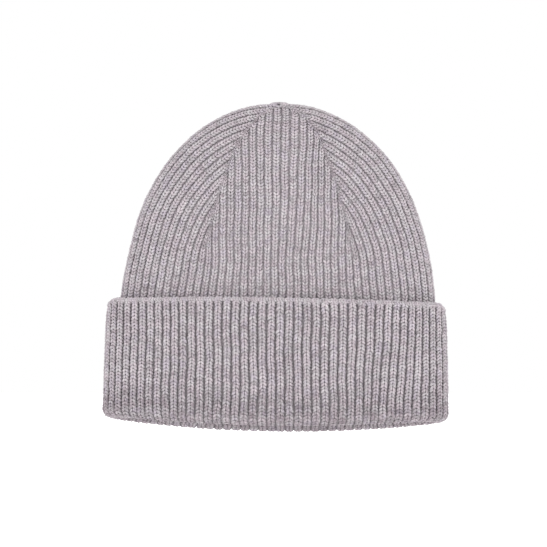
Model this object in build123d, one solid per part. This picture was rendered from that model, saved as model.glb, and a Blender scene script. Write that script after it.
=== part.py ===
from build123d import *
import math
import os

# A ribbed knit beanie with a deep turn-up cuff, lying upright and relaxed.
# Millimetres, +Z up towards the crown tip, front facing -Y.
# The origin is the centre of the head opening, level with the front of the rim.

# ---- crown: the single layer of fabric from the rim to the tip ----
CROWN_HALF_WIDTH = 102.4      # outer half width of the rib tube at the rim
CROWN_HALF_DEPTH = 36.0       # outer half depth of the rib tube at the rim
CROWN_HEIGHT = 205.8          # rim to the top of the dome
CROWN_DROP_POWER = 3.44       # how late the dome starts to close in
CROWN_ROUND_POWER = 1.866     # how round the dome is near the tip
OVAL_POWER = 2.4              # 2 is an ellipse, more is flatter at the front and back
FABRIC = 3.2                  # thickness of the rib fabric

# ---- crown shaping: four gores joined by dart seams ----
GORE_START = 118.0            # height where the dart seams begin
FRONT_GORE_SHARE = 0.5        # share of the width that the front gore takes
SEAM_WIDTH = 1.6              # width of a linked seam
TIP_RADIUS = 7.0              # radius of the gathered disc at the tip
TIP_RISE = 1.2                # how far the gathered disc stands proud
TUFT_RADIUS = 3.4             # gathered fabric end inside the tip
TUFT_LENGTH = 6.0
CLOSING_YARN = 0.8            # radius of the yarn tied round the gathered end

# ---- cuff: the turned-up layer around the rib tube ----
CUFF_WIDER_TOP = 6.2          # how far the cuff's upper edge stands out past the crown's side
CUFF_WIDER_LOW = 7.6          # the same just above the fold
CUFF_HALF_WIDTH_TOP = CROWN_HALF_WIDTH + CUFF_WIDER_TOP
CUFF_HALF_WIDTH_LOW = CROWN_HALF_WIDTH + CUFF_WIDER_LOW
CUFF_LAYER_DEPTH = 7.0        # how far the cuff's face stands off the rib tube, front and back
CUFF_FABRIC = 3.6             # thickness of the turned-up layer
CUFF_HEIGHT = 82.0            # rim to the cuff's upper edge
START_EDGE = 3.0              # height of the rolled start edge
START_EDGE_PROUD = 0.4        # the start edge is a little fuller than the cuff
FOLD_HEIGHT = 6.5             # height of the folded bottom of the cuff
SLIDE_CLEARANCE = 0.35        # rib tube to fold, where the two bodies meet

# ---- rim: lowest in the middle, lower at the back than at the front ----
RIM_CORNER_RISE = 6.5         # how much higher the rim is at its two ends
RIM_BACK_DROP = 4.4           # how much lower the back of the rim is than the front
RIM_OVERRUN = 20.0            # stock left below the rim before it is trimmed

# ---- blank care label, sewn inside the back ----
LABEL_WIDTH = 26.0
LABEL_HEIGHT = 40.0
LABEL_THICKNESS = 0.5
LABEL_TOP = 112.0             # height of the label's sewn edge
LABEL_STITCH_HEIGHT = 1.6
LABEL_STAND_OFF = 0.5         # least gap between the label and the fabric

OVAL_SIDES = 48               # facets round the hat
DOME_BANDS = 11               # facets from rim to tip
TIP_FLAT = 0.02               # share of the width that is flat at the very top
REACH = 400.0                 # longer than the hat, for cutting blocks


def fullness(share):
    """Share of the half depth that the oval reaches, at a share of its half width."""
    return (1 - abs(share) ** OVAL_POWER) ** (1 / OVAL_POWER)


def squircle(value):
    """Cosine or sine drawn out from a circle towards the hat's oval."""
    return math.copysign(abs(value) ** (2 / OVAL_POWER), value)


def oval(height, half_width, half_depth):
    """Corners of the hat's oval section at one height."""
    corners = []
    for step in range(OVAL_SIDES):
        turn = 2 * math.pi * (step + 0.5) / OVAL_SIDES
        across = half_width * squircle(math.cos(turn))
        along = half_depth * squircle(math.sin(turn))
        corners.append(Vector(across, along, height))
    return corners


def stack(sections):
    """Solid through a stack of similar ovals, skinned with flat facets."""
    rings = [oval(*section) for section in sections]
    faces = [Face(Wire.make_polygon(rings[0])), Face(Wire.make_polygon(rings[-1]))]
    for lower, upper in zip(rings, rings[1:]):
        for step in range(OVAL_SIDES):
            after = (step + 1) % OVAL_SIDES
            corners = [lower[step], lower[after], upper[after], upper[step]]
            faces.append(Face(Wire.make_polygon(corners)))
    return Solid(Shell(faces))


def dome(half_width, half_depth, height):
    """Solid dome: an oval tube that closes in late and rounds off at the tip."""
    sections = [(-RIM_OVERRUN, half_width, half_depth)]
    for step in range(DOME_BANDS):
        reach = math.sin(math.pi / 2 * (1 - step / DOME_BANDS))
        closing = (1 - reach ** CROWN_ROUND_POWER) ** (1 / CROWN_DROP_POWER)
        sections.append((height * closing, half_width * reach, half_depth * reach))
    sections.append((height, half_width * TIP_FLAT, half_depth * TIP_FLAT))
    return stack(sections)


def band(low, top, half_width_low, half_width_top, half_depth):
    """Solid oval band between two heights; half_depth is at its lower end."""
    taper = half_width_top / half_width_low
    return stack([(low, half_width_low, half_depth), (top, half_width_top, half_depth * taper)])


def block(low, top):
    """Box about the Z axis between two heights, wider and deeper than the hat."""
    return Pos(0, 0, (low + top) / 2) * Box(REACH, REACH, top - low)


def rim_body(lift):
    """Everything above the curved, tilted rim, raised by lift."""
    radius = (CUFF_HALF_WIDTH_LOW ** 2 + RIM_CORNER_RISE ** 2) / (2 * RIM_CORNER_RISE)
    depth = 2 * cuff_half_depth()
    tilt = math.degrees(math.atan(RIM_BACK_DROP / depth))
    barrel = Pos(0, 0, radius) * Rot(90, 0, 0) * Cylinder(radius, REACH)
    return Pos(0, 0, lift - RIM_BACK_DROP / 2) * Rot(-tilt, 0, 0) * barrel


def cuff_half_depth():
    """Outer half depth of the cuff."""
    return CROWN_HALF_DEPTH + CUFF_LAYER_DEPTH


def crown_inside():
    """The hollow of the crown as a solid."""
    return dome(CROWN_HALF_WIDTH - FABRIC, CROWN_HALF_DEPTH - FABRIC, CROWN_HEIGHT - FABRIC)


def crown_shell(inside):
    """The whole single layer of fabric, trimmed to the rim."""
    outside = dome(CROWN_HALF_WIDTH, CROWN_HALF_DEPTH, CROWN_HEIGHT)
    return (outside - inside) & rim_body(FOLD_HEIGHT + SLIDE_CLEARANCE)


def dart_angles():
    """Compass angle of each dart plane about Z, measured from the front."""
    across = FRONT_GORE_SHARE * CROWN_HALF_WIDTH
    along = CROWN_HALF_DEPTH * fullness(FRONT_GORE_SHARE)
    front = math.degrees(math.atan2(across, along))
    return {"front_right": front, "back_right": 180 - front,
            "back_left": 180 + front, "front_left": 360 - front}


def seam_slab(angle, low):
    """Thin upright slab from the axis outwards, where a seam runs."""
    slab = Pos(0, -REACH / 2, low + REACH / 2) * Box(SEAM_WIDTH, REACH, REACH)
    return Rot(0, 0, angle) * slab


def sector(start, end):
    """Upright wedge between two compass angles, less half a seam on each side."""
    first = (math.sin(math.radians(start)) * REACH, -math.cos(math.radians(start)) * REACH)
    last = (math.sin(math.radians(end)) * REACH, -math.cos(math.radians(end)) * REACH)
    middle = math.radians((start + end) / 2)
    far = (math.sin(middle) * 2 * REACH, -math.cos(middle) * 2 * REACH)
    face = make_face(Polyline((0, 0), first, far, last, close=True))
    wedge = extrude(face, REACH)
    return wedge - seam_slab(start, -RIM_OVERRUN) - seam_slab(end, -RIM_OVERRUN)


def tip_core():
    """Upright round core that the gathered disc takes from the crown."""
    return Pos(0, 0, CROWN_HEIGHT) * Cylinder(TIP_RADIUS, CROWN_HEIGHT)


def make_crown():
    """Side wall, gores, seams and tip, all cut from one shell."""
    inside = crown_inside()
    shell = crown_shell(inside)
    ring = shell - tip_core()
    top = ring & block(GORE_START, REACH)
    darts = dart_angles()
    nodes = {}
    back_slab = seam_slab(180, -RIM_OVERRUN)
    nodes["side_wall"] = (ring & block(-RIM_OVERRUN, GORE_START)) - back_slab
    nodes["centre_back_seam"] = ring & back_slab
    borders = {"gore_front": (darts["front_left"] - 360, darts["front_right"]),
               "gore_right": (darts["front_right"], darts["back_right"]),
               "gore_back_right": (darts["back_right"], 180),
               "gore_back_left": (180, darts["back_left"]),
               "gore_left": (darts["back_left"], darts["front_left"])}
    for name, (start, end) in borders.items():
        nodes[name] = top & sector(start, end)
    for name, angle in darts.items():
        nodes["dart_seam_" + name] = top & seam_slab(angle, 0)
    nodes.update(make_tip(shell))
    nodes.update(make_label(inside))
    return nodes


def make_tip(shell):
    """Gathered disc with its tuft, and the yarn tied round the tuft."""
    inner_top = CROWN_HEIGHT - FABRIC
    disc = shell & tip_core()
    rise = Pos(0, 0, CROWN_HEIGHT - FABRIC / 2 + TIP_RISE / 2) * Cylinder(
        TIP_RADIUS - SEAM_WIDTH, FABRIC + TIP_RISE)
    rise = rise - Pos(0, 0, -FABRIC / 2) * dome(CROWN_HALF_WIDTH, CROWN_HALF_DEPTH, CROWN_HEIGHT)
    tuft = Pos(0, 0, inner_top + FABRIC / 2 - (TUFT_LENGTH + FABRIC / 2) / 2) * Cylinder(
        TUFT_RADIUS, TUFT_LENGTH + FABRIC / 2)
    yarn_height = inner_top - TUFT_LENGTH + CLOSING_YARN * 2
    yarn = Pos(0, 0, yarn_height) * Torus(TUFT_RADIUS + CLOSING_YARN, CLOSING_YARN)
    return {"crown_gather": disc + rise + tuft, "closing_yarn": yarn}


def make_label(inside):
    """Blank label hanging inside the back, and the stitches that hold it."""
    fraction = LABEL_TOP / (CROWN_HEIGHT - FABRIC)
    closing = (1 - fraction ** CROWN_DROP_POWER) ** (1 / CROWN_ROUND_POWER)
    side = LABEL_WIDTH / 2 / ((CROWN_HALF_WIDTH - FABRIC) * closing)
    wall = (CROWN_HALF_DEPTH - FABRIC) * closing * fullness(side)
    back_face = wall - LABEL_STAND_OFF
    label = Pos(0, back_face - LABEL_THICKNESS / 2, LABEL_TOP - LABEL_HEIGHT / 2) * Box(
        LABEL_WIDTH, LABEL_THICKNESS, LABEL_HEIGHT)
    bar = Pos(0, back_face + FABRIC, LABEL_TOP - LABEL_STITCH_HEIGHT) * Box(
        LABEL_WIDTH - LABEL_STITCH_HEIGHT, 2 * FABRIC, LABEL_STITCH_HEIGHT)
    return {"care_label": label, "label_stitching": bar & inside}


def cuff_half_width(height):
    """Outer half width of the cuff at one height."""
    share = height / CUFF_HEIGHT
    return CUFF_HALF_WIDTH_LOW + (CUFF_HALF_WIDTH_TOP - CUFF_HALF_WIDTH_LOW) * share


def cuff_band(low, top, proud=0.0):
    """Slice of the cuff's outer solid between two heights, standing proud of it."""
    lower = cuff_half_width(low)
    depth = cuff_half_depth() * lower / CUFF_HALF_WIDTH_LOW
    return band(low, top, lower + proud, cuff_half_width(top) + proud, depth + proud)


def straight_core(half_width, half_depth):
    """Straight oval core, longer than the cuff at both ends."""
    return band(-2 * RIM_OVERRUN, CUFF_HEIGHT + RIM_OVERRUN, half_width, half_width, half_depth)


def make_cuff():
    """Turned-up layer, its start edge, its fold and its back seam."""
    shoulder = CUFF_HEIGHT - START_EDGE
    hollow = straight_core(CUFF_HALF_WIDTH_TOP - CUFF_FABRIC, cuff_half_depth() - CUFF_FABRIC)
    stock = cuff_band(-RIM_OVERRUN, shoulder) - hollow
    seam = seam_slab(180, -RIM_OVERRUN)
    layer = stock & rim_body(FOLD_HEIGHT)
    edge = cuff_band(shoulder, CUFF_HEIGHT, START_EDGE_PROUD) - hollow
    fold = (cuff_band(-RIM_OVERRUN, shoulder) & rim_body(0)) - rim_body(FOLD_HEIGHT)
    fold = fold - straight_core(CROWN_HALF_WIDTH - FABRIC, CROWN_HALF_DEPTH - FABRIC)
    return {"cuff_turn_up": layer - seam, "cuff_back_seam": layer & seam,
            "cuff_start_edge": edge, "cuff_fold": fold}


def main():
    """Write every sub-part to its own file."""
    os.makedirs("parts", exist_ok=True)
    nodes = {}
    nodes.update(make_crown())
    nodes.update(make_cuff())
    for name, solid in nodes.items():
        solid.label = name
        export_step(solid, f"parts/{name}.step")


main()
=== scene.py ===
# %% [markdown]
# # A ribbed knit beanie with a turn-up cuff
# The hat is one soft rib fabric: a tube that closes into a dome of four gores, with its lower
# end turned up as a cuff. The frame gives the real sizes and the two bodies that move: the crown
# and the cuff. Everything here is placed from the frame, in metres, with +Z up and the front
# facing -Y.

# %% Load the frame
import math
import bmesh
import bpy
import numpy as np
from mathutils import Matrix, Vector


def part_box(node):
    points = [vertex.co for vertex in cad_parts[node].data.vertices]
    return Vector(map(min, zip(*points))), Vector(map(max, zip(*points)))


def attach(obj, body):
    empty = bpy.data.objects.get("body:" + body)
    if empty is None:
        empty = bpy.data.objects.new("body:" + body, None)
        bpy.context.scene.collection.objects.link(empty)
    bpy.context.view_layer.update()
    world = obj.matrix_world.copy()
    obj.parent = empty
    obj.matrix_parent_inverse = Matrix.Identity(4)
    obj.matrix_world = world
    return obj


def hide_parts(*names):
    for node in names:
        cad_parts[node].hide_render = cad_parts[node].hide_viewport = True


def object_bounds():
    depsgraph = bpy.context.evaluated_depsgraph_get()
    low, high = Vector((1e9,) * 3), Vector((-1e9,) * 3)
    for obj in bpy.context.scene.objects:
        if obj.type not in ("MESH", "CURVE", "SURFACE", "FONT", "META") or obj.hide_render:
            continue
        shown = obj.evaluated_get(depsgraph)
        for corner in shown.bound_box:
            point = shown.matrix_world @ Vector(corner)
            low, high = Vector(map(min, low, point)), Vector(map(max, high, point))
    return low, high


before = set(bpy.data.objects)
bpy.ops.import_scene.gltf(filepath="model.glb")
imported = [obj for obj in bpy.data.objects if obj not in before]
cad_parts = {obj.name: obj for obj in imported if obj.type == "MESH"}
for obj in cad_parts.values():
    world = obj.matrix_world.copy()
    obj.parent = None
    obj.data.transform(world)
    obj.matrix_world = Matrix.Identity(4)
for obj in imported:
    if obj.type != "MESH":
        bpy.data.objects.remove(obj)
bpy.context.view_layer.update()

# %% [markdown]
# ## Sizes
# The sizes come from the boxes of the frame's nodes, so the knitting always sits where the
# solids are.

# %% Sizes
MM = 0.001
wall_box, tip_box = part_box("side_wall"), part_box("crown_gather")
cuff_box, edge_box, fold_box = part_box("cuff_turn_up"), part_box("cuff_start_edge"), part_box("cuff_fold")
HALF_WIDTH = wall_box[1].x + 0.3 * MM
HALF_DEPTH = wall_box[1].y
HEIGHT = tip_box[1].z - 1.2 * MM
GORE_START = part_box("gore_front")[0].z
CUFF_TOP = edge_box[1].z
CUFF_WIDTH = fold_box[1].x
CUFF_DEPTH = cuff_box[1].y
print(f"crown {2 * HALF_WIDTH:.3f} x {2 * HALF_DEPTH:.3f} x {HEIGHT:.3f} m, cuff {CUFF_TOP:.3f} m tall")

# %% [markdown]
# ## The hat's form
# From above the hat is a flattened oval, and from the front a dome that closes in late. Both
# are curves with a power, like an ellipse whose power isn't 2. The four dart lines, where the
# gores meet, start halfway across and bow in towards the tip.

# %% Form helpers
DROP_POWER, ROUND_POWER, OVAL_POWER = 3.44, 1.866, 2.4
DART_SHARE, DART_EASE, DART_BOW = 0.5, 0.20, 0.12


def closing(height):
    """Share of the rim's width that the dome keeps at a height."""
    share = np.clip(height / HEIGHT, 0, 1)
    return (1 - share ** DROP_POWER) ** (1 / ROUND_POWER)


def fullness(share):
    """Share of the half depth that the oval reaches at a share of its half width."""
    return (1 - np.clip(np.abs(share), 0, 1) ** OVAL_POWER) ** (1 / OVAL_POWER)


def dart_share(height):
    """Share of the half width where the dart line lies: half of it low down, less near the tip."""
    kept = closing(height)
    inward = 1 - DART_BOW * (1 - kept ** 4)
    return DART_SHARE * inward * (1 - np.exp(-kept / DART_EASE)) / (1 - math.exp(-1 / DART_EASE))


print("dart line at", [round(float(dart_share(share * HEIGHT)), 2) for share in (0, 0.5, 0.8, 0.95)])

# %% [markdown]
# ## Lines and tables
# A line is a row of points with the distance run along it, so it can be read at even distances.

# %% Number helpers
def travelled(points, weights=1.0):
    """Distance run along a row of points, with each direction given a weight."""
    steps = np.linalg.norm(np.diff(points, axis=0) * weights, axis=1)
    return np.concatenate([[0], np.cumsum(steps)])


def read_table(at, run, table):
    """Rows of a table at given distances, read between its own rows."""
    return np.stack([np.interp(at, run, column) for column in table.T], -1)


def unit(vectors):
    """Vectors made one long."""
    return vectors / np.maximum(np.linalg.norm(vectors, axis=-1, keepdims=True), 1e-9)


def hump(value, middle, width):
    """One at the middle, fading to nothing on both sides."""
    return np.exp(-((value - middle) / width) ** 2)


def soft_max(value, floor, ease):
    """The larger of two values, with the corner between them rounded."""
    over = value - floor
    return floor + (over + np.sqrt(over ** 2 + ease ** 2)) / 2


# %% [markdown]
# ## Knitting gauge
# A rib is one column of stitches, and a row is one stitch high. The front and back gores are
# twenty ribs wide. The two side gores wrap round the ends of the oval, so they take a few more.

# %% Gauge
ROW = 2.03 * MM
FRONT_RIBS, SIDE_RIBS = 20, 24
CUFF_RIBS = 2 * (FRONT_RIBS + SIDE_RIBS)
CROWN_PITCH, CUFF_PITCH = 4.72 * MM, 5.66 * MM
PITCH_EASE = 0.06 * MM
FABRIC_START = 7.5 * MM
DEPTH_SHARE = 0.7
TABLE = 240
SHARES = np.linspace(0, 1, TABLE)
print("ribs round:", CUFF_RIBS)

# %% [markdown]
# ## Four panels that wrap round the dome
# A flat panel of knitting has two directions: across the ribs and up the rows. Each panel here
# is a table that answers one question: where on the hat is this spot of the flat panel? A small
# class keeps the table together with the number of ribs that fit at each height.

# %% Panel tables
class Panel:
    """One quarter of the crown: share across (-1 to 1) and share up (0 to 1) give a place."""

    def __init__(self, name, half_ribs, spots, half_span, pitch):
        self.name, self.half_ribs, self.spots = name, half_ribs, spots
        self.ribs_at = half_span / pitch
        self.mirrored = 1 if name in ("left", "right") else 0
        self.way = 1 if name in ("front", "right") else -1

    def ribs(self, up):
        """Ribs between the middle of the panel and its dart line."""
        return np.interp(up, SHARES, self.ribs_at)

    def place(self, across, up):
        """Place on the dome of shares across and up, read between four spots of the table."""
        across, up = np.broadcast_arrays(np.clip(across, -1, 1), np.clip(up, 0, 1))
        col, row = np.abs(across) * (TABLE - 1), up * (TABLE - 1)
        c0 = np.clip(col.astype(int), 0, TABLE - 2)
        r0 = np.clip(row.astype(int), 0, TABLE - 2)
        fc, fr = (col - c0)[..., None], (row - r0)[..., None]
        low = self.spots[r0, c0] * (1 - fc) + self.spots[r0, c0 + 1] * fc
        high = self.spots[r0 + 1, c0] * (1 - fc) + self.spots[r0 + 1, c0 + 1] * fc
        spot = low * (1 - fr) + high * fr
        spot[..., self.mirrored] *= np.where(across < 0, -1, 1)
        return spot

    def rib_place(self, rib, up):
        """Place on the dome of a rib number, counted from the panel's middle."""
        return self.place(rib / np.maximum(self.ribs(up), 1e-6), up)


# %% [markdown]
# ## Front and back
# Here the ribs stand upright and end on the dart lines, so the panel is measured straight across.

# %% Front and back panels
def heights_along(half):
    """Heights evenly spaced along the dome's outline of that half size, rim to tip."""
    reach = np.sin(np.linspace(np.pi / 2, 0, 4000))
    height = HEIGHT * (1 - reach ** ROUND_POWER) ** (1 / DROP_POWER)
    outline = np.stack([half * reach, height], 1)[height >= FABRIC_START]
    outline = np.vstack([[half * closing(FABRIC_START), FABRIC_START], outline])
    run = travelled(outline)
    return np.interp(np.linspace(0, run[-1], TABLE), run, outline[:, 1])


def flat_panel(name):
    """Front or back panel: upright ribs, cut off by the dart lines."""
    height = heights_along(HALF_DEPTH)
    share = dart_share(height)
    half = HALF_WIDTH * closing(height) * share
    pitch = soft_max(half / (FRONT_RIBS / 2), CROWN_PITCH, PITCH_EASE)
    x = half[:, None] * SHARES
    y = HALF_DEPTH * closing(height)[:, None] * fullness(SHARES * share[:, None])
    y = y * (1 if name == "back" else -1)
    spots = np.stack(np.broadcast_arrays(x, y, height[:, None]), -1)
    return Panel(name, FRONT_RIBS // 2, spots, half, pitch)


front, back = flat_panel("front"), flat_panel("back")

# %% [markdown]
# ## Sides
# On the sides the ribs follow the outline of the dome. So each row of the panel starts on that
# outline and runs straight in from it, until it meets the dart line.

# %% Side panels
INWARD_REACH, INWARD_STEPS = 1.4, 1200


def inward_line(start, way):
    """Places across the dome, from a spot of its outline to the dart line."""
    step = start[0] * INWARD_REACH * np.linspace(0, 1, INWARD_STEPS) ** 3
    flat = start + step[:, None] * way
    half = HALF_WIDTH * closing(flat[:, 1])
    share = flat[:, 0] / np.maximum(half, 1e-9)
    stop = max(2, int(np.argmax(share < dart_share(flat[:, 1]))))
    flat, share = flat[:stop + 1], share[:stop + 1]
    depth = HALF_DEPTH * closing(flat[:, 1]) * fullness(share)
    return np.stack([flat[:, 0], depth, flat[:, 1]], 1)


def side_panel(name):
    """Left or right panel: ribs that follow the dome's outline, measured inwards from it."""
    height = heights_along(HALF_WIDTH)
    edge = np.stack([HALF_WIDTH * closing(height), height], 1)
    along = unit(np.gradient(edge, axis=0))
    inward = np.stack([-along[:, 1], along[:, 0]], 1)
    spots, spans = [], []
    for start, way in zip(edge, inward):
        line = inward_line(start, way)
        run = travelled(line, (1, DEPTH_SHARE, 1))
        spans.append(run[-1])
        spots.append(read_table(SHARES * run[-1], run, line))
    spots, spans = np.array(spots), np.array(spans)
    if name == "left":
        spots[..., 0] *= -1
    gore = int(np.argmax(height > GORE_START))
    pitch = soft_max(spans / (SIDE_RIBS / 2), spans[gore] / (SIDE_RIBS / 2), PITCH_EASE)
    return Panel(name, SIDE_RIBS // 2, spots, spans, pitch)


panels = [front, side_panel("right"), back, side_panel("left")]
for panel in panels:
    print(panel.name, "ribs at the rim", round(2 * float(panel.ribs_at[0]), 1),
          "height", round(float(travelled(panel.spots[:, 0])[-1]), 3))

# %% [markdown]
# ## The cuff as one long strip
# The cuff is the same fabric, turned up round a fold. Its strip starts just inside the rim, goes
# down, round the fold and up the outside, and its upper edge curls in a little. The path is
# drawn once as distance out and height.

# %% Cuff path
FOLD_RADIUS = 4.6 * MM
LIP_HEIGHT = 11 * MM
CUFF_TAPER = -1.2 * MM
CURL_RADIUS, CURL_TURN = 4.2 * MM, 1.35


def cuff_line():
    """Distance out from the cuff's face and height, from inside the rim to the upper edge."""
    line = [(-2 * FOLD_RADIUS, h) for h in np.linspace(LIP_HEIGHT, FOLD_RADIUS, 8)]
    for turn in np.linspace(-np.pi, 0, 40)[1:]:
        line.append((FOLD_RADIUS * (math.cos(turn) - 1), FOLD_RADIUS * (1 + math.sin(turn))))
    shoulder = CUFF_TOP - CURL_RADIUS
    for share in np.linspace(0, 1, 40)[1:]:
        line.append((CUFF_TAPER * share, FOLD_RADIUS + (shoulder - FOLD_RADIUS) * share))
    for turn in np.linspace(0, CURL_TURN, 14)[1:]:
        out = CUFF_TAPER + CURL_RADIUS * (math.cos(turn) - 1)
        line.append((out, shoulder + CURL_RADIUS * math.sin(turn)))
    line = np.array(line)
    run = travelled(line)
    even = np.linspace(0, run[-1], 600)
    return even, read_table(even, run, line)


cuff_run, cuff_profile = cuff_line()
CUFF_LENGTH = cuff_run[-1]
print(f"cuff strip {CUFF_LENGTH * 1000:.1f} mm long")

# %% [markdown]
# ## Round the cuff
# The path is carried round the oval. Ribs have an even pitch in front and at the back, and those
# round the two ends share what is left.

# %% Cuff oval
def cuff_oval():
    """Places and outward directions round the cuff, for each rib number from the front's middle."""
    turn = np.linspace(-np.pi, np.pi, 6001)
    raised = lambda v: np.sign(v) * np.abs(v) ** (2 / OVAL_POWER)
    ring = np.stack([CUFF_WIDTH * raised(np.sin(turn)), -CUFF_DEPTH * raised(np.cos(turn))], 1)
    run = travelled(ring, (1, DEPTH_SHARE))
    quarter = run[-1] / 4
    beside, half = FRONT_RIBS / 2, CUFF_RIBS / 2
    face = beside * CUFF_PITCH
    marks = [-half, -half + beside, -beside, beside, half - beside, half]
    runs = [0, face, 2 * quarter - face, 2 * quarter + face, 4 * quarter - face, 4 * quarter]
    ribs = np.linspace(-half, half, 4401)
    spots = read_table(np.interp(ribs, marks, runs), run, ring)
    ahead = unit(np.gradient(spots, axis=0))
    return ribs, spots, np.stack([ahead[:, 1], -ahead[:, 0]], 1)


oval_ribs, oval_spots, oval_out = cuff_oval()


def cuff_place(rib, run):
    """Place on the cuff of a rib number and a distance along the strip."""
    rib = (np.asarray(rib, float) + CUFF_RIBS / 2) % CUFF_RIBS - CUFF_RIBS / 2
    rib, run = np.broadcast_arrays(rib, run)
    spot, out = read_table(rib, oval_ribs, oval_spots), read_table(rib, oval_ribs, oval_out)
    profile = read_table(run, cuff_run, cuff_profile)
    return np.concatenate([spot + out * profile[..., :1], profile[..., 1:]], -1)


# %% [markdown]
# ## Settling
# No hat is as even as a formula. One function moves every point of the fabric a little, so all
# the pieces stay together. The rim dips and rises, the ribs wander and the faces swell in soft
# waves. The dome leans a few millimetres, and some of its front ribs lean more. The upper edge
# of the cuff drops towards its ends, and its corners are round.

# %% Settle
BACK_DROP, CORNER_RISE, FRONT_RISE, RIM_TILT = 4.4 * MM, 6.3 * MM, 1.6 * MM, 1.5 * MM
EDGE_DROOP, EDGE_TILT, EDGE_PULL, CUFF_SKEW = 2.4 * MM, 1.7 * MM, 1.2 * MM, 5.0 * MM
CORNER_FROM, CORNER_SPAN, CORNER_DROP, CORNER_TUCK = 0.925, 0.075, 5.0 * MM, 1.2 * MM
DOME_LEAN, RIB_LEAN, TIP_DIP, TIP_REACH = 2.4 * MM, 3.4 * MM, 1.1 * MM, 16 * MM


def rim_lift(x, y):
    """How far the rim is raised: lowest at the middle of the back, highest at the two ends."""
    to_front, to_back = (1 - y / CUFF_DEPTH) / 2, (1 + y / CUFF_DEPTH) / 2
    return CORNER_RISE * (x / CUFF_WIDTH) ** 2 + FRONT_RISE * to_front - BACK_DROP * to_back


def settle_cuff(moved, y, side, fade):
    """Moves the cuff's own points: upper edge, leaning ribs and corners."""
    moved[:, 2] -= (EDGE_DROOP * side ** 2 + EDGE_TILT * side) * (1 - fade)
    moved[:, 0] += EDGE_PULL * (1 - fade) * np.clip(-side, 0, 1)
    skew = hump(side, 0.68, 0.22) * (y < 0) * np.clip(1 - side, 0, 0.2) / 0.2
    moved[:, 0] += CUFF_SKEW * (0.5 - fade) * skew
    corner = np.clip((np.abs(side) - CORNER_FROM) / CORNER_SPAN, 0, 1) ** 2
    corner = corner * np.clip(1 - 4.5 * fade, 0, 1)
    moved[:, 2] -= CORNER_DROP * corner
    moved[:, 0] -= CORNER_TUCK * np.sign(side) * corner


def settle_crown(moved, x, y, z):
    """Moves the crown's own points: leaning dome, leaning front ribs and sunken tip."""
    waist = hump(z, 0.55 * HEIGHT, 0.25 * HEIGHT)
    moved[:, 0] += DOME_LEAN * z / HEIGHT + waist * (0.65 * MM - 0.0065 * x)
    leaning = hump(x / HALF_WIDTH, 0.13, 0.13) * np.clip(-y / HALF_DEPTH * 3, 0, 1)
    moved[:, 0] += RIB_LEAN * leaning * np.clip((z / HEIGHT - 0.5) / 0.35, 0, 1)
    near_tip = np.exp(-(x ** 2 + y ** 2) / TIP_REACH ** 2) * (z > 0.8 * HEIGHT)
    moved[:, 2] -= TIP_DIP * near_tip


def settle(points, body):
    """Points moved as soft fabric settles; body is crown or cuff."""
    x, y, z = points.T
    moved = points.copy()
    fade = np.clip(1 - z / CUFF_TOP, 0, 1)
    side = x / CUFF_WIDTH
    moved[:, 2] += rim_lift(x, y) * fade
    wander = 0.28 * MM * np.sin(2 * np.pi * (z / 0.061 + x / 0.15 + y / 0.4))
    wander += 0.16 * MM * np.sin(2 * np.pi * (z / 0.029 - x / 0.083) + 1.3)
    moved[:, 0] += wander * np.clip(1 - np.abs(side) ** 4, 0.2, 1)
    swell = 0.012 * np.sin(2 * np.pi * (z / 0.19 + x / 0.31) + 0.6)
    moved[:, 1] *= 1 + swell + 0.008 * np.sin(x / 0.021 + 2.0)
    if body == "cuff":
        settle_cuff(moved, y, side, fade)
    else:
        settle_crown(moved, x, y, z)
    moved[:, 2] -= RIM_TILT * side * fade
    return moved


print("front of the rim goes to", settle(np.array([[0, -CUFF_DEPTH, 0]]), "cuff")[0])

# %% [markdown]
# ## From a mesh to a piece
# A bmesh becomes a mesh, its points get numbers for the finish, and an object shows it.

# %% Mesh helpers
def mesh_from(bm, name):
    """Mesh of a finished bmesh."""
    mesh = bpy.data.meshes.new(name)
    bm.to_mesh(mesh)
    bm.free()
    return mesh


def new_piece(name, mesh, smooth=True):
    """Object that shows a mesh, with soft or sharp shading."""
    mesh.polygons.foreach_set("use_smooth", [smooth] * len(mesh.polygons))
    piece = bpy.data.objects.new(name, mesh)
    bpy.context.collection.objects.link(piece)
    return piece


def thicken(piece, thickness, offset):
    """Gives a thin sheet its thickness."""
    wall = piece.modifiers.new("thickness", "SOLIDIFY")
    wall.thickness, wall.offset = thickness, offset


def point_table(mesh, field="co"):
    """Places or normals of a mesh's points, one row each."""
    table = np.empty(len(mesh.vertices) * 3)
    mesh.vertices.foreach_get(field, table)
    return table.reshape(-1, 3)


def point_values(mesh, name, values):
    """Stores one number per point, which a material can read."""
    made = mesh.attributes.new(name, "FLOAT", "POINT")
    made.data.foreach_set("value", np.asarray(values, float))


# %% [markdown]
# ## One stitch
# Seen close up, each stitch of a rib is a V: two plump legs of yarn side by side, each leaning
# out at the top and tucked under the next stitch. A leg is a small ball pulled out into a
# spindle. It has few faces, because the hat needs thousands of them.

# %% Stitch mesh
LEG_LENGTH, LEG_WIDTH, LEG_DEPTH = 1.58 * MM, 0.80 * MM, 0.98 * MM
LEG_LEAN, LEG_TILT, LEG_APART = math.radians(25), math.radians(19), 0.88 * MM


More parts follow.
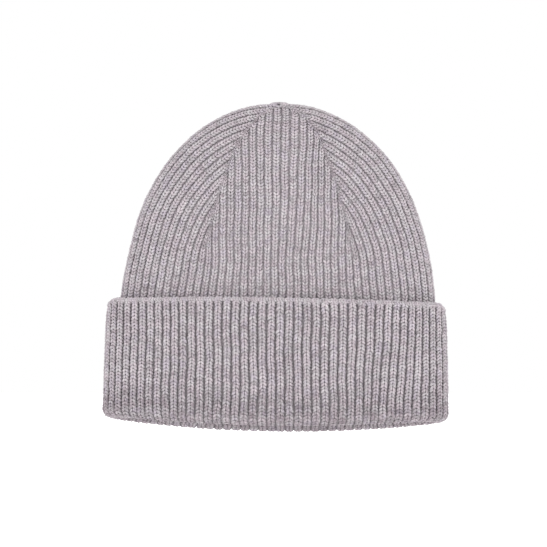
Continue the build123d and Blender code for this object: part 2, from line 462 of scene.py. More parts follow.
def make_stitch():
    """Mesh of one stitch, opening upwards along +Y and facing +Z."""
    bm = bmesh.new()
    for side in (-1, 1):
        made = bmesh.ops.create_uvsphere(bm, u_segments=6, v_segments=6, radius=1)["verts"]
        bmesh.ops.rotate(bm, verts=made, matrix=Matrix.Rotation(math.pi / 2, 3, "X"))
        bmesh.ops.scale(bm, verts=made, vec=(LEG_WIDTH, LEG_LENGTH, LEG_DEPTH))
        bmesh.ops.rotate(bm, verts=made, matrix=Matrix.Rotation(-LEG_TILT, 3, "X"))
        bmesh.ops.rotate(bm, verts=made, matrix=Matrix.Rotation(-side * LEG_LEAN, 3, "Z"))
        bmesh.ops.translate(bm, verts=made, vec=(side * LEG_APART, 0, 0))
    return mesh_from(bm, "stitch")


stitch = make_stitch()
print("one stitch:", len(stitch.vertices), "points,", len(stitch.polygons), "faces")

# %% [markdown]
# ## Thousands of stitches
# One mesh is filled at once with copies of the stitch, each put in its place by a frame. Every
# point remembers the shade of its stitch and how far out it stands, which paints tucked-in yarn
# darker as painted shade.

# %% Copy the stitch along ribs
# painted shade: these set how dark the yarn is painted where it tucks in, and how much lighter the middle
# between the two legs stays
PAINTED_SHADE_FROM, PAINTED_SHADE_SPAN, PAINTED_SHADE_MIDDLE = 0.15 * MM, 1.0 * MM, 0.35


def copied_mesh(name, template, places):
    """Mesh of many copies of a template; places holds the points of every copy."""
    around = np.concatenate([face.vertices[:] for face in template.polygons])
    corners = np.tile([len(face.vertices) for face in template.polygons], len(places))
    first = np.arange(len(places))[:, None] * len(template.vertices)
    mesh = bpy.data.meshes.new(name)
    mesh.vertices.add(places.size // 3)
    mesh.vertices.foreach_set("co", places.ravel())
    mesh.loops.add(first.size * around.size)
    mesh.loops.foreach_set("vertex_index", (first + around).ravel())
    mesh.polygons.add(len(corners))
    mesh.polygons.foreach_set("loop_start", np.concatenate([[0], np.cumsum(corners)[:-1]]))
    mesh.update(calc_edges=True)
    return mesh


def stitched_piece(name, frames, tones):
    """One object made of stitches. A frame is a 3x4 matrix: across, along, out, place."""
    base = point_table(stitch)
    places = np.einsum("nij,vj->nvi", frames[:, :, :3], base) + frames[:, None, :, 3]
    mesh = copied_mesh(name, stitch, places)
    # painted shade: low points, where the yarn tucks under, get a low value and are painted darker; the
    # middle between the legs is painted a little lighter
    rise = (base[:, 2] + PAINTED_SHADE_FROM) / PAINTED_SHADE_SPAN + PAINTED_SHADE_MIDDLE * hump(base[:, 0], 0, 0.45 * MM)
    point_values(mesh, "heather", np.repeat(tones, len(base)))
    point_values(mesh, "painted_tuck_shade", np.tile(np.clip(rise, 0, 1), len(frames)))
    return new_piece(name, mesh)


# %% [markdown]
# ## Frames along a rib
# To knit a rib, the script walks up its line and leaves a frame at each row: which way is
# across, along and out, and how wide the rib is there. It works from places on the settled
# hat, so widths and slopes come out by themselves. Seeded random numbers make every stitch a
# little uneven.

# %% Rib frames
rng = np.random.default_rng(7)
NOMINAL_PITCH = 5.0 * MM
LEAST_WIDE, MOST_WIDE = 0.15, 1.35
UNEVEN_TURN, UNEVEN_SIZE, UNEVEN_ACROSS, UNEVEN_OUT = 0.055, 0.045, 0.10 * MM, 0.09 * MM


def rib_axes(place, at, low, high, step):
    """Directions across and along a rib at each row, and its width there."""
    along = unit(place(0.0, np.minimum(at + step, high)) - place(0.0, np.maximum(at - step, low)))
    across = place(0.5, at) - place(-0.5, at)
    across -= along * np.sum(across * along, axis=1, keepdims=True)
    width = np.linalg.norm(across, axis=1, keepdims=True)
    return across / np.maximum(width, 1e-9), along, width


def rib_frames(place, low, high, samples=400, flip=False, sink=0.0, wide=lambda at: 1.0, row=ROW):
    """Frames of the stitches on one rib, and where on it they are. place(rib offset, run) gives
    settled places, and wide(run) how plump the stitches are."""
    run = np.linspace(low, high, samples)
    line = travelled(place(0.0, run))
    rows = max(1, int(line[-1] / row))
    at = np.interp((np.arange(rows) + 0.5) * line[-1] / rows, line, run)
    across, along, width = rib_axes(place, at, low, high, (high - low) / samples)
    out = np.cross(across, along)
    width = np.clip(width / NOMINAL_PITCH, LEAST_WIDE, MOST_WIDE) * np.reshape(wide(at), (-1, 1))
    spot = place(0.0, at) - out * sink
    if flip:
        along, across = -along, -across
    turn = rng.normal(0, UNEVEN_TURN, (rows, 1))
    across, along = across + along * turn, along - across * turn
    size = 1 + rng.normal(0, UNEVEN_SIZE, (rows, 1))
    spot = spot + across * rng.normal(0, UNEVEN_ACROSS, (rows, 1))
    spot = spot + out * rng.normal(0, UNEVEN_OUT, (rows, 1))
    rise = line[-1] / rows / ROW
    frames = np.stack([across * width * size, along * rise * size, out * size, spot], -1)
    return frames, at


def tones_for(count):
    """A shade for each stitch, drifting along the rib as heathered yarn does."""
    drift = np.convolve(rng.normal(0, 1, count + 6), np.ones(7) / 7, "valid")[:count]
    return 0.5 + 0.12 * drift + rng.normal(0, 0.13, count)


# %% [markdown]
# ## Knitting the crown
# Each panel is knitted rib by rib, in a lower part that belongs to the wall and an upper part
# that belongs to the gore. Towards the dart line a rib narrows until it is too thin to knit.

# %% Knit one panel
SINK = 0.55 * MM
CROWN_PLUMP, CUFF_PLUMP = 1.22, 1.18
DART_GROOVE, NARROWEST, SHORTEST = 0.06, 0.07, 0.006
SAMPLES = 400


def knit_panel(panel, low, high, name):
    """Stitches of one panel between two shares of its height. A rib narrows at its dart line."""
    frames, tones = [], []
    groove = DART_GROOVE if low > 0 else 0.0
    for rib in range(-panel.half_ribs, panel.half_ribs):
        centre = rib + 0.5
        inner, side = abs(centre) - 0.5, math.copysign(1, centre)
        spare = panel.ribs(np.linspace(low, high, SAMPLES)) - inner - groove - NARROWEST
        steps = SAMPLES if spare.min() > 0 else int(np.argmax(spare < 0))
        top = low + (high - low) * steps / SAMPLES
        if top - low < SHORTEST:
            continue

        def place(offset, up):
            room = np.clip(panel.ribs(up) - inner - groove, NARROWEST, 1)
            spot = panel.rib_place(side * (inner + room / 2) + panel.way * offset * room, up)
            return settle(spot.reshape(-1, 3), "crown")

        made, _ = rib_frames(place, low, top, SAMPLES, sink=SINK, wide=lambda at: CROWN_PLUMP)
        frames.append(made)
        tones.append(tones_for(len(made)))
    return stitched_piece(name, np.concatenate(frames), np.concatenate(tones))


# %% Knit the crown
TIP_SHARE = 0.978


def share_at(panel, height):
    """Share up the panel at which its middle rib reaches a height."""
    return float(np.interp(height, panel.spots[:, 0, 2], SHARES))


crown_pieces = []
for panel in panels:
    split = share_at(panel, GORE_START)
    lower = knit_panel(panel, 0.0, split, f"wall_knit_{panel.name}")
    upper = knit_panel(panel, split, TIP_SHARE, f"gore_knit_{panel.name}")
    crown_pieces += [lower, upper]
    print(panel.name, "faces", len(lower.data.polygons), len(upper.data.polygons))

# %% [markdown]
# ## Knitting the cuff
# The cuff is knitted up its strip: round the fold, up the face, and closer together at the upper
# edge, where a row of stitches lies across the ribs. It is turned over, so its stitches point
# down, and it is darker near the fold.

# %% Knit the cuff
EDGE_RUN, EDGE_ROW, EDGE_FULLER = 5.5 * MM, 1.3 * MM, 0.26
FOLD_FULLER, FOLD_DARKENING_HEIGHT, FOLD_DARKENING = 0.16, 20 * MM, 0.42
FOLD_RUN = float(cuff_run[np.argmax((cuff_profile[:, 0] > -0.02 * MM))]) + 1.5 * MM
edge_start = CUFF_LENGTH - EDGE_RUN
fill = lambda run: CUFF_PLUMP + EDGE_FULLER * np.clip((run - edge_start) / (0.45 * EDGE_RUN), 0, 1)
spread = lambda run: CUFF_PLUMP + FOLD_FULLER * np.clip((FOLD_RUN + 7 * MM - run) / (8 * MM), 0, 1)


def knit_cuff(name, ribs, low, high, wide=spread, row=ROW):
    """Stitches of the cuff between two distances along its strip."""
    frames, tones = [], []
    for rib in ribs:
        def place(offset, run):
            return settle(cuff_place(rib + 0.5 + offset, run).reshape(-1, 3), "cuff")
        made, at = rib_frames(place, low, high, flip=True, sink=SINK, row=row, wide=wide)
        # the stitches are darker towards the fold, over the lowest part of the cuff
        darker_near_fold = FOLD_DARKENING * np.clip((FOLD_RUN + FOLD_DARKENING_HEIGHT - at) / FOLD_DARKENING_HEIGHT, 0, 1)
        frames.append(made)
        tones.append(tones_for(len(made)) - darker_near_fold)
    return stitched_piece(name, np.concatenate(frames), np.concatenate(tones))

quarter = CUFF_RIBS // 4
cuff_front = knit_cuff("cuff_knit_front", range(-quarter, quarter), FOLD_RUN, edge_start)
cuff_back = knit_cuff("cuff_knit_back", range(quarter, 3 * quarter), FOLD_RUN, edge_start)
cuff_fold = knit_cuff("cuff_fold_knit", range(CUFF_RIBS), 1.0 * MM, FOLD_RUN)
cuff_edge = knit_cuff("cuff_start_edge_knit", range(CUFF_RIBS), edge_start, CUFF_LENGTH,
                      wide=fill, row=EDGE_ROW)
print("cuff faces", [len(o.data.polygons) for o in (cuff_front, cuff_back, cuff_fold, cuff_edge)])

# %% Start roll
ROLL_WIDTH, ROLL_DOWN, ROLL_ROW = 4.2 * MM, 2.9 * MM, 1.7 * MM
ROLL_SAMPLES = 30 * CUFF_RIBS


def start_roll():
    """Stitches lying round the upper edge of the cuff."""
    def place(offset, rib):
        spot = cuff_place(rib, CUFF_LENGTH - ROLL_DOWN - offset * ROLL_WIDTH)
        return settle(spot.reshape(-1, 3), "cuff")
    frames, _ = rib_frames(place, -CUFF_RIBS / 2, CUFF_RIBS / 2, ROLL_SAMPLES, sink=0.05 * MM, row=ROLL_ROW)
    return stitched_piece("cuff_start_roll", frames, tones_for(len(frames)))


cuff_roll = start_roll()
print("start roll", len(cuff_roll.data.polygons), "faces")

# %% [markdown]
# ## The cloth behind the ribs
# Between two ribs the fabric steps back, so you look at the cloth behind. It is a grid bent to
# the same form, a little deeper than the ribs, with a furrow in each gap. Solidify gives it the
# thickness that shows at the open rim and inside the hat.

# %% Backing cloth
CLOTH = 1.3 * MM
FURROW_POWER = 6


def backing(name, columns, rows, to_rib, place, body, depth):
    """Cloth made from a flat grid. to_rib gives rib and run; depth gives how deep it lies there."""
    bm = bmesh.new()
    bmesh.ops.create_grid(bm, x_segments=columns, y_segments=rows, size=1)
    mesh = mesh_from(bm, name)
    flat = point_table(mesh)
    up = (flat[:, 1] + 1) / 2
    rib, run = to_rib(flat[:, 0], up)
    spot = settle(place(rib, run), body)
    mesh.vertices.foreach_set("co", spot.ravel())
    mesh.update()
    deep = depth(np.abs(np.cos(np.pi * rib)) ** FURROW_POWER, run)
    mesh.vertices.foreach_set("co", (spot - point_table(mesh, "normal") * deep[:, None]).ravel())
    uv = mesh.uv_layers.new(name="knit")
    corner = np.empty(len(mesh.loops), int)
    mesh.loops.foreach_get("vertex_index", corner)
    length = np.linalg.norm(spot[np.argmax(flat[:, 1])] - spot[np.argmin(flat[:, 1])])
    uv.data.foreach_set("uv", np.stack([rib, up * length / ROW], 1)[corner].ravel())
    piece = new_piece(name, mesh)
    thicken(piece, CLOTH, -1)
    return piece


# %% Cloth of the crown
CROWN_DEPTH, CROWN_FURROW = 0.85 * MM, 0.55 * MM
cloth_pieces = []
for panel in panels:
    def to_rib(across, up, panel=panel):
        return across * panel.way * panel.ribs(up), up

    cloth = backing(f"cloth_{panel.name}", panel.half_ribs * 8, 96, to_rib, panel.rib_place, "crown",
                    lambda furrow, up: CROWN_DEPTH + CROWN_FURROW * furrow)
    cloth_pieces.append(cloth)
    print(cloth.name, len(cloth.data.polygons), "faces")

# %% Cloth of the cuff
def cuff_to_rib(across, up):
    """Rib number and run of a spot of the cuff's flat grid."""
    return across * CUFF_RIBS / 2, up * CUFF_LENGTH


def cuff_depth(furrow, run):
    """Deep furrows on the face, filled in at the fold and the upper edge, where the cloth bends."""
    open_at = np.clip((run - FOLD_RUN + 3 * MM) / (7 * MM), 0, 1)
    open_at = open_at * np.clip((CUFF_LENGTH - run) / (6 * MM), 0, 1)
    return 0.7 * MM + 0.45 * MM * open_at + (0.2 * MM + 0.9 * MM * open_at) * furrow


cuff_cloth = backing("cuff_cloth", CUFF_RIBS * 4, 60, cuff_to_rib, cuff_place, "cuff", cuff_depth)
print(cuff_cloth.name, len(cuff_cloth.data.polygons), "faces")

# %% [markdown]
# ## Seams
# Where ribs end against each other, the knitter draws two edges together with a fine chain.
# Each chain is the same stitch, smaller and set deeper, run along the joining line. One more
# runs up the back, where the flat knitting is closed into a tube.

# %% Seam chains
CHAIN_WIDTH, CHAIN_SINK, CHAIN_ROW = 2.4 * MM, 1.0 * MM, 1.7 * MM
CHAIN_TOP = 0.97


def chain(name, line, across, low, high, body):
    """Chain of small stitches along line(run), with across(run) pointing to its right."""
    def place(offset, run):
        spot = line(run) + across(run) * (offset * CHAIN_WIDTH)
        return settle(spot.reshape(-1, 3), body)
    frames, _ = rib_frames(place, low, high, sink=CHAIN_SINK, row=CHAIN_ROW)
    return stitched_piece(name, frames, tones_for(len(frames)))


def edge_line(panel, side):
    """A panel's dart line and the direction to its right, seen from outside."""
    way = side if panel.name == "front" else -side

    def line(run):
        return panel.place(np.full(np.shape(run), float(way)), np.atleast_1d(run))

    def across(run):
        run = np.atleast_1d(run)
        inner = panel.place(np.full(run.shape, 0.92 * way), run)
        return unit(line(run) - inner) * side
    return line, across


dart_seams = []
for panel, side, name in ((front, -1, "front_left"), (front, 1, "front_right"),
                          (back, 1, "back_left"), (back, -1, "back_right")):
    line, across = edge_line(panel, side)
    start = share_at(panel, GORE_START + 2 * MM)
    dart_seams.append(chain(f"dart_chain_{name}", line, across, start, CHAIN_TOP, "crown"))

# %% Back seam
def back_line(run):
    return back.place(np.zeros(np.shape(run)), np.atleast_1d(run))


def cuff_back_line(run):
    return cuff_place(np.full(np.shape(run), CUFF_RIBS / 2.0), np.atleast_1d(run))


def back_across(run):
    return np.tile([-1.0, 0, 0], (np.size(run), 1))


back_seam = chain("centre_back_chain", back_line, back_across, 0.0, CHAIN_TOP, "crown")
cuff_seam = chain("cuff_back_chain", cuff_back_line, back_across, FOLD_RUN, CUFF_LENGTH - 2 * MM, "cuff")
print("seams:", [o.name for o in dart_seams + [back_seam, cuff_seam]])

# %% [markdown]
# ## The gathered tip
# The last stitches are drawn up on a thread, so the top is a small puckered button. It starts as
# a flattened ball. Its points are moved in and out in turn round the middle to make the folds,
# and pushed down at the middle. The hole of the gathering lies at the front of the top; it, the
# hollows between the folds and the middle are painted darker, as painted shade. The thread is a
# small circle spun into rings, tilted so that they cross.

# %% Gathered tip
TIP_FOLDS, TIP_PUCKER, TIP_RIPPLE = 14, 0.07, 0.16
TIP_DIMPLE, DIMPLE_REACH = 0.75, 0.3
TIP_HOLE, HOLE_REACH, HOLE_DEPTH = Vector((-0.12, -0.93, 0.36)), 0.30, 0.6
tip_spot = Vector((DOME_LEAN, 0, HEIGHT))
tip_size = Vector((6.2 * MM, 6.0 * MM, 2.6 * MM))


def make_tip():
    """Flattened ball, folded all round, with the hole of the gathering at the front of its top."""
    bm = bmesh.new()
    bmesh.ops.create_uvsphere(bm, u_segments=84, v_segments=40, radius=1)
    tip_painted_shade = []
    for vert in bm.verts:
        away = math.hypot(vert.co.x, vert.co.y)
        turn = math.atan2(vert.co.y, vert.co.x)
        fold = math.cos(TIP_FOLDS * turn + 0.7 * math.sin(3 * turn))
        hole = math.exp(-(vert.co.angle(TIP_HOLE) / HOLE_REACH) ** 2)
        # painted shade: darker towards the middle, in the hollows between the folds and in the hole of the
        # gathering
        tip_painted_shade.append(min(1, 1.6 * away) * (0.7 + 0.3 * fold * away) * (1 - 1.7 * hole))
        vert.co.x *= 1 + TIP_PUCKER * fold * away
        vert.co.y *= 1 + TIP_PUCKER * fold * away
        vert.co.z *= 1 - TIP_DIMPLE * math.exp(-(away / DIMPLE_REACH) ** 2) + TIP_RIPPLE * fold * away
        vert.co *= 1 - HOLE_DEPTH * hole
    bmesh.ops.scale(bm, verts=bm.verts, vec=tip_size)
    bmesh.ops.translate(bm, verts=bm.verts, vec=tip_spot - Vector((0, 0, 2.2 * MM)))
    mesh = mesh_from(bm, "gathered_tip")
    point_values(mesh, "painted_tuck_shade", tip_painted_shade)
    point_values(mesh, "heather", [0.62] * len(tip_painted_shade))
    return new_piece("gathered_tip", mesh)


gathered_tip = make_tip()
print("tip:", len(gathered_tip.data.polygons), "faces")

# %% Closing thread
def yarn_ring(name, centre, radius, thick, turns, tilt):
    """Loops of yarn lying on each other: a small circle spun round, tilted in turn."""
    bm = bmesh.new()
    for turn in range(turns):
        ring = bmesh.ops.create_circle(bm, segments=8, radius=thick, cap_ends=False)["verts"]
        bmesh.ops.rotate(bm, verts=ring, matrix=Matrix.Rotation(math.pi / 2, 3, "X"))
        bmesh.ops.translate(bm, verts=ring, vec=(radius, 0, 0))
        edges = list({edge for vert in ring for edge in vert.link_edges})
        bmesh.ops.spin(bm, geom=ring + edges, cent=(0, 0, 0), axis=(0, 0, 1), angle=2 * math.pi,
                       steps=24, use_merge=True)
        mine = [vert for vert in bm.verts if not vert.tag]
        for vert in mine:
            vert.tag = True
        turned = Matrix.Rotation(tilt * (turn - 0.5), 3, "X") @ Matrix.Rotation(1.1 * turn, 3, "Z")
        bmesh.ops.rotate(bm, verts=mine, matrix=turned)
    bmesh.ops.recalc_face_normals(bm, faces=bm.faces)
    bmesh.ops.translate(bm, verts=bm.verts, vec=centre)
    mesh = mesh_from(bm, name)
    # painted shade: the whole thread is painted a little darker, as yarn that lies tucked in
    point_values(mesh, "painted_tuck_shade", [0.6] * len(mesh.vertices))
    point_values(mesh, "heather", [0.5] * len(mesh.vertices))
    return new_piece(name, mesh)


THREAD_RADIUS, THREAD_THICK, THREAD_TILT = 2.0 * MM, 0.4 * MM, 0.25
closing_thread = yarn_ring("closing_thread", tip_spot - Vector((0, 0, 0.4 * MM)),
                           THREAD_RADIUS, THREAD_THICK, 2, THREAD_TILT)
print("thread:", len(closing_thread.data.polygons), "faces")

# %% [markdown]
# ## Care label
# A strip of woven tape folded and sewn inside the back. It is a thin grid with a soft bow, and
# two short rows of thread hold its upper edge. Real labels carry words; this one is plain.

# %% Label
label_low, label_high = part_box("care_label")
sewn_low, sewn_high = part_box("label_stitching")
TAPE, LABEL_BOW, THREAD_HALF = 0.35 * MM, 0.9 * MM, Vector((1.15 * MM, 0.28 * MM, 0.28 * MM))
SEWN_STITCHES = 9


def make_label():
    """Folded tape, as a thin grid with a soft bow."""
    bm = bmesh.new()
    bmesh.ops.create_grid(bm, x_segments=16, y_segments=28, size=0.5)
    width = (label_high.x - label_low.x) * 0.98
    height = label_high.z - label_low.z
    bmesh.ops.scale(bm, verts=bm.verts, vec=(width, height, 1))
    bmesh.ops.rotate(bm, verts=bm.verts, matrix=Matrix.Rotation(math.pi / 2, 3, "X"))
    middle = (label_low + label_high) / 2
    bmesh.ops.translate(bm, verts=bm.verts, vec=middle)
    for vert in bm.verts:
        down = (label_high.z - vert.co.z) / height
        vert.co.y -= LABEL_BOW * down ** 2 * math.sin(3.0 * down + 60 * vert.co.x)
    piece = new_piece("woven_label", mesh_from(bm, "woven_label"))
    thicken(piece, TAPE, 0)
    return piece


def make_label_threads():
    """Two rows of short stitches that hold the label."""
    bm = bmesh.new()
    for row in (0.25, 0.75):
        for k in range(SEWN_STITCHES):
            made = bmesh.ops.create_uvsphere(bm, u_segments=6, v_segments=5, radius=1)["verts"]
            bmesh.ops.rotate(bm, verts=made, matrix=Matrix.Rotation(math.pi / 2, 3, "Y"))
            bmesh.ops.scale(bm, verts=made, vec=THREAD_HALF)
            x = sewn_low.x + (k + 0.5) / SEWN_STITCHES * (sewn_high.x - sewn_low.x)
            z = sewn_low.z + row * (sewn_high.z - sewn_low.z)
            bmesh.ops.translate(bm, verts=made, vec=(x, sewn_low.y + 0.1 * MM, z))
    return new_piece("label_threads", mesh_from(bm, "label_threads"), smooth=False)


woven_label, label_threads = make_label(), make_label_threads()
print("label", [round(v * 1000, 1) for v in label_high - label_low], "mm")

# %% [markdown]
# ## Small helpers for finishes
# Each helper adds one node with its links, so that the finishes read as lists of steps.

# %% Node helpers
def new_material(name, roughness):
    """Material with its nodes, its links and its main shader."""
    made = bpy.data.materials.new(name)
    made.use_nodes = True
    nodes, links = made.node_tree.nodes, made.node_tree.links
    nodes["Principled BSDF"].inputs["Roughness"].default_value = roughness
    return made, nodes, links, nodes["Principled BSDF"]


def socket(group, name, kind, way, value=None):
    """Input or output of a node group."""
    made = group.interface.new_socket(name=name, in_out=way, socket_type=kind)
    if value is not None:
        made.default_value = value


def ramp(nodes, stops):
    """Colour ramp from (place, colour) pairs."""
    made = nodes.new("ShaderNodeValToRGB")
    line = made.color_ramp
    while len(line.elements) < len(stops):
        line.elements.new(0.5)
    for element, (place, colour) in zip(line.elements, stops):
        element.position = place
        element.color = (*colour, 1)
    return made


def math_node(nodes, links, kind, first, second=None, third=None):
    """Result of one sum; each value is a number or the output of another node."""
    made = nodes.new("ShaderNodeMath")
    made.operation = kind
    for slot, value in enumerate((first, second, third)):
        if value is None:
            continue
        if isinstance(value, (int, float)):
            made.inputs[slot].default_value = value
        else:
            links.new(value, made.inputs[slot])
    return made.outputs[0]


def tint(nodes, links, colour, by):
    """Colour multiplied by a value or another colour."""
    mix = nodes.new("ShaderNodeMix")
    mix.data_type, mix.blend_type = "RGBA", "MULTIPLY"
    mix.inputs["Factor"].default_value = 1.0
    links.new(colour, mix.inputs["A"])
    links.new(by, mix.inputs["B"])
    return mix.outputs["Result"]


def noise_node(nodes, links, scale, detail, vector):
    """Cloudy value between 0 and 1."""
    made = nodes.new("ShaderNodeTexNoise")
    made.inputs["Scale"].default_value = scale
    made.inputs["Detail"].default_value = detail
    links.new(vector, made.inputs["Vector"])
    return made.outputs["Fac"]


def add_relief(nodes, links, shader, height, strength, distance):
    """Fine relief from a height."""
    relief = nodes.new("ShaderNodeBump")
    relief.inputs["Strength"].default_value = strength
    relief.inputs["Distance"].default_value = distance
    links.new(height, relief.inputs["Height"])
    links.new(relief.outputs[0], shader.inputs["Normal"])


def linear(*rgb):
    """Linear colour of a display colour from 0 to 255."""
    return tuple((v / 255 / 12.92) if v < 10 else ((v / 255 + 0.055) / 1.055) ** 2.4 for v in rgb)


# %% [markdown]
# ## Heathered yarn
# Heathered yarn is spun from fibres of several shades, so no two spots have the same colour. A
# node group mixes three scales: a slow drift from stitch to stitch, flecks as long as a stitch,
# and single fibres. It also paints tucked-in yarn darker, as painted shade. It gives a colour and
# a height, and each finish uses it its own way.

# %% Yarn node group
# painted shade: fully tucked-in yarn is painted at this share of its colour
TUCKED_PAINTED_SHADE = 0.60
YARN_SHADES = ((0.12, linear(136, 127, 132)), (0.34, linear(166, 159, 163)), (0.50, linear(184, 177, 181)),
               (0.66, linear(193, 187, 190)), (0.90, linear(210, 205, 207)))
YARN_HUES = ((0.34, (0.958, 0.935, 0.992)), (0.44, (0.962, 0.985, 0.972)), (0.56, (0.988, 0.942, 0.962)),
             (0.66, (0.948, 0.932, 0.98)))
YARN_NOISES = ((420, 3, (1, 1, 0.8)), (1500, 2, (1, 1, 0.5)), (3600, 2, (1, 1, 0.35)))


def make_yarn_group():
    """Node group that turns a stitch's own tone into the colour and height of its yarn, and paints
    tucked-in yarn darker as painted shade.
    """
    group = bpy.data.node_groups.new("heathered_yarn", "ShaderNodeTree")
    socket(group, "Stitch", "NodeSocketFloat", "INPUT", 0.5)
    socket(group, "Shade", "NodeSocketFloat", "INPUT", 0.0)
    # painted shade of tucked-in yarn: one where the yarn stands out, lower where it tucks in
    socket(group, "Painted Tuck Shade", "NodeSocketFloat", "INPUT", 1.0)
    socket(group, "Color", "NodeSocketColor", "OUTPUT")
    socket(group, "Height", "NodeSocketFloat", "OUTPUT")
    nodes, links = group.nodes, group.links
    given, result = nodes.new("NodeGroupInput"), nodes.new("NodeGroupOutput")
    coord = nodes.new("ShaderNodeTexCoord")
    noises = []
    for scale, detail, stretch in YARN_NOISES:
        mapping = nodes.new("ShaderNodeMapping")
        mapping.inputs["Scale"].default_value = stretch
        links.new(coord.outputs["Object"], mapping.inputs["Vector"])
        noises.append(noise_node(nodes, links, scale, detail, mapping.outputs[0]))
    drift, fleck, fibre = noises
    blend = math_node(nodes, links, "MULTIPLY_ADD", given.outputs["Stitch"], 0.45, 0.125)
    blend = math_node(nodes, links, "MULTIPLY_ADD", drift, 0.3, blend)
    fine = math_node(nodes, links, "MULTIPLY_ADD", fleck, 1.1, -0.55)
    blend = math_node(nodes, links, "ADD", blend, fine)
    hair = math_node(nodes, links, "MULTIPLY_ADD", fibre, 0.45, -0.225)
    blend = math_node(nodes, links, "ADD", blend, hair)
    blend = math_node(nodes, links, "ADD", blend, given.outputs["Shade"])
    shades = ramp(nodes, YARN_SHADES)
    links.new(blend, shades.inputs[0])
    hues = ramp(nodes, YARN_HUES)
    links.new(noise_node(nodes, links, 150, 3, coord.outputs["Object"]), hues.inputs[0])
    tinted = tint(nodes, links, shades.outputs[0], hues.outputs[0])
    # painted shade: the colour is multiplied down towards the tucked share where the yarn tucks in
    painted_shading = math_node(nodes, links, "MULTIPLY_ADD", given.outputs["Painted Tuck Shade"], 1 - TUCKED_PAINTED_SHADE, TUCKED_PAINTED_SHADE)
    links.new(tint(nodes, links, tinted, painted_shading), result.inputs["Color"])
    height = math_node(nodes, links, "MULTIPLY_ADD", fleck, 0.6, fibre)
    links.new(height, result.inputs["Height"])
    return group


yarn_group = make_yarn_group()
print("yarn group sockets:", [item.name for item in yarn_group.interface.items_tree])

# %% [markdown]
# ## Finishes
# The ribs, the cloth behind them and the seams are the same yarn at different depths. The cloth
# behind the ribs is painted darker, as painted shade, most of all in the furrows between ribs. A
# little sheen stands for the short fibres that stand off the yarn and catch the light at its edges.

# %% Yarn finishes
def row_bumps(nodes, links):
    """Bumps of the rows and ribs of plain cloth, from its own flat coordinates."""
    coord = nodes.new("ShaderNodeUVMap")
    coord.uv_map = "knit"
    split = nodes.new("ShaderNodeSeparateXYZ")
    links.new(coord.outputs[0], split.inputs[0])
    turn = math_node(nodes, links, "MULTIPLY", split.outputs["Y"], 2 * math.pi)
    purl = math_node(nodes, links, "SINE", turn)
    round_rib = math_node(nodes, links, "MULTIPLY", split.outputs["X"], 2 * math.pi)
    rib = math_node(nodes, links, "COSINE", round_rib)
    return math_node(nodes, links, "MULTIPLY_ADD", purl, 0.5, rib)


def yarn_material(name, shade, bump, rows=None):
    """Matte yarn; rows is how light plain cloth is painted, as painted shade of its place behind the ribs,
    and adds the bumps of its knitting.
    """
    made, nodes, links, shader = new_material(name, 0.9)
    shader.inputs["Specular IOR Level"].default_value = 0.15
    shader.inputs["Sheen Weight"].default_value = 0.12
    shader.inputs["Sheen Roughness"].default_value = 0.5
    yarn = nodes.new("ShaderNodeGroup")
    yarn.node_tree = yarn_group
    yarn.inputs["Shade"].default_value = shade
    height = yarn.outputs["Height"]
    colour = yarn.outputs["Color"]
    if rows:
        knit = row_bumps(nodes, links)
        height = math_node(nodes, links, "MULTIPLY_ADD", knit, 1.2, height)
        # painted shade: plain cloth is painted darker in the furrows between ribs, with lighter and darker
        # bands along its rows
        colour = tint(nodes, links, colour, math_node(nodes, links, "MULTIPLY_ADD", knit, -0.14, rows))
    else:
        # each stitch reads its own tone and its painted shade of tucked-in yarn
        for name, into in (("heather", "Stitch"), ("painted_tuck_shade", "Painted Tuck Shade")):
            value = nodes.new("ShaderNodeAttribute")
            value.attribute_name = name
            links.new(value.outputs["Fac"], yarn.inputs[into])
    links.new(colour, shader.inputs["Base Color"])
    add_relief(nodes, links, shader, height, bump, 0.35 * MM)
    return made


rib_yarn = yarn_material("crown_rib_yarn", -0.03, 0.55)
cuff_yarn = yarn_material("cuff_rib_yarn", -0.05, 0.55)
edge_yarn = yarn_material("start_edge_yarn", 0.0, 0.4)
fold_yarn = yarn_material("fold_yarn", -0.03, 0.5)
seam_yarn = yarn_material("seam_yarn", -0.05, 0.5)
# painted shade: the cloth behind the ribs is painted darker than the ribs
crown_cloth_yarn = yarn_material("crown_cloth_yarn", -0.08, 0.6, rows=0.97)
cuff_cloth_yarn = yarn_material("cuff_cloth_yarn", -0.10, 0.6, rows=0.90)

# %% [markdown]
# ## Label tape
# Woven tape is smoother than yarn. Two sine waves multiplied give threads that go over and
# under, and the same value drives both its shade and its relief.

# %% Label finish
WARP, WEFT = 0.5 * MM, 0.4 * MM


def tape_material():
    """Woven tape: fine warp and weft lines that go over and under."""
    made, nodes, links, shader = new_material("woven_tape", 0.55)
    coord = nodes.new("ShaderNodeTexCoord")
    split = nodes.new("ShaderNodeSeparateXYZ")
    links.new(coord.outputs["Object"], split.inputs[0])
    across = math_node(nodes, links, "MULTIPLY", split.outputs["X"], 2 * math.pi / WARP)
    down = math_node(nodes, links, "MULTIPLY", split.outputs["Z"], 2 * math.pi / WEFT)
    weave = math_node(nodes, links, "MULTIPLY", math_node(nodes, links, "SINE", across),
                      math_node(nodes, links, "SINE", down))
    shades = ramp(nodes, ((0.0, linear(205, 202, 196)), (1.0, linear(240, 238, 233))))
    links.new(math_node(nodes, links, "MULTIPLY_ADD", weave, 0.5, 0.5), shades.inputs[0])
    links.new(shades.outputs[0], shader.inputs["Base Color"])
    add_relief(nodes, links, shader, weave, 0.3, 0.1 * MM)
    return made


tape = tape_material()

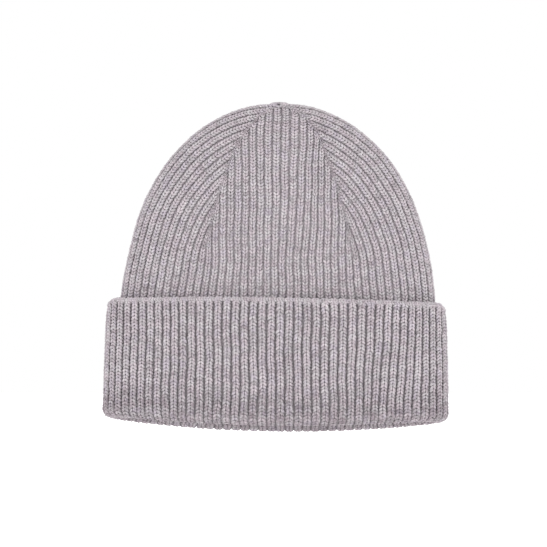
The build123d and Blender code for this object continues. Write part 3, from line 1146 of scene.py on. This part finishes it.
# %% Give finishes
seam_owners = dart_seams + [back_seam, cuff_seam, closing_thread]
finishes = [(rib_yarn, crown_pieces), (cuff_yarn, [cuff_front, cuff_back]), (fold_yarn, [cuff_fold]),
            (edge_yarn, [cuff_edge, cuff_roll]), (seam_yarn, seam_owners), (rib_yarn, [gathered_tip]),
            (crown_cloth_yarn, cloth_pieces), (cuff_cloth_yarn, [cuff_cloth]),
            (tape, [woven_label, label_threads])]
for material, owners in finishes:
    for owner in owners:
        owner.data.materials.append(material)
print("finishes:", [material.name for material, _ in finishes])

# %% [markdown]
# ## What each piece stands for
# Every piece rides on a body, so that it moves with it, and the solids of the frame that it
# stands for are hidden.

# %% Replace
wall_nodes = {"front": ["gore_front"], "right": ["gore_right"],
              "back": ["gore_back_left", "gore_back_right"], "left": ["gore_left"]}
for k, panel in enumerate(panels):
    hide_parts("side_wall")
    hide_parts(*wall_nodes[panel.name])
    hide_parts("side_wall", *wall_nodes[panel.name])
for piece, name in zip(dart_seams, ("front_left", "front_right", "back_left", "back_right")):
    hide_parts(f"dart_seam_{name}")
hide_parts("centre_back_seam")
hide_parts("crown_gather")
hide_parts("closing_yarn")
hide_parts("care_label")
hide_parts("label_stitching")
for piece in (cuff_front, cuff_back):
    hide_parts("cuff_turn_up")
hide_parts("cuff_fold")
for piece in (cuff_edge, cuff_roll):
    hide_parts("cuff_start_edge")
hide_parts("cuff_back_seam")
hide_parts("cuff_turn_up", "cuff_fold", "cuff_start_edge")

# %% Ride
on_crown = crown_pieces + cloth_pieces + dart_seams + [back_seam, gathered_tip, closing_thread,
                                                       woven_label, label_threads]
on_cuff = [cuff_front, cuff_back, cuff_fold, cuff_edge, cuff_roll, cuff_seam, cuff_cloth]
for body, owners in (("crown", on_crown), ("cuff", on_cuff)):
    for piece in owners:
        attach(piece, body)
print("pieces:", len(on_crown), "on the crown,", len(on_cuff), "on the cuff")

# %% [markdown]
# ## Floor
# A pale floor catches the light under the hat. It lies below the lowest place that the turned-down
# cuff reaches, so that it never hides the cuff.

# %% Floor
CUFF_TRAVEL = 66 * MM
bm = bmesh.new()
bmesh.ops.create_grid(bm, x_segments=1, y_segments=1, size=6)
bmesh.ops.translate(bm, verts=bm.verts, vec=(0, 0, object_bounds()[0].z - CUFF_TRAVEL - 0.4 * MM))
floor = new_piece("floor", mesh_from(bm, "floor"), smooth=False)
floor_paint, floor_nodes, floor_links, floor_shader = new_material("floor_paint", 0.9)
floor_shader.inputs["Base Color"].default_value = (0.93, 0.93, 0.93, 1)
floor_shader.inputs["Emission Color"].default_value = (1, 1, 1, 1)
seen = floor_nodes.new("ShaderNodeLightPath")
glow = math_node(floor_nodes, floor_links, "MULTIPLY_ADD", seen.outputs["Is Camera Ray"], 0.5, 0.45)
floor_links.new(glow, floor_shader.inputs["Emission Strength"])
floor.data.materials.append(floor_paint)

# %% [markdown]
# ## Light and camera
# Even light comes from all round, as for a catalogue. Three large soft lamps add a little form.
# A long lens far away keeps the hat's sides parallel.

# %% Light
world = bpy.data.worlds.new("studio")
world.use_nodes = True
world.node_tree.nodes["Background"].inputs["Color"].default_value = (1, 1, 1, 1)
world.node_tree.nodes["Background"].inputs["Strength"].default_value = 1.0
bpy.context.scene.world = world


def soft_light(name, place, aim, size, power):
    """Square lamp at a place, turned to its aim."""
    lamp = bpy.data.lights.new(name, "AREA")
    lamp.shape, lamp.size, lamp.energy = "SQUARE", size, power
    made = bpy.data.objects.new(name, lamp)
    made.location = place
    made.rotation_euler = (Vector(aim) - Vector(place)).to_track_quat("-Z", "Y").to_euler()
    bpy.context.collection.objects.link(made)


soft_light("key", (-0.9, -1.6, 1.5), (0, 0, 0.1), 1.2, 14)
soft_light("fill", (1.3, -1.5, 1.0), (0, 0, 0.1), 1.2, 9)
soft_light("back", (0.5, 1.9, 1.3), (0, 0, 0.1), 1.2, 12)
bpy.context.scene.view_settings.view_transform = "Standard"

# %% Camera
camera_data = bpy.data.cameras.new("camera")
camera_data.sensor_width = 36
CAMERA_AWAY, VIEW_WIDTH, VIEW_HEIGHT = 5.0, 0.3478, 97 * MM
camera_data.lens = camera_data.sensor_width * CAMERA_AWAY / VIEW_WIDTH
camera_data.clip_end = 50
camera = bpy.data.objects.new("camera", camera_data)
camera.location = (-1.3 * MM, -CAMERA_AWAY, VIEW_HEIGHT)
camera.rotation_euler = (math.pi / 2, 0, 0)
bpy.context.collection.objects.link(camera)
bpy.context.scene.camera = camera
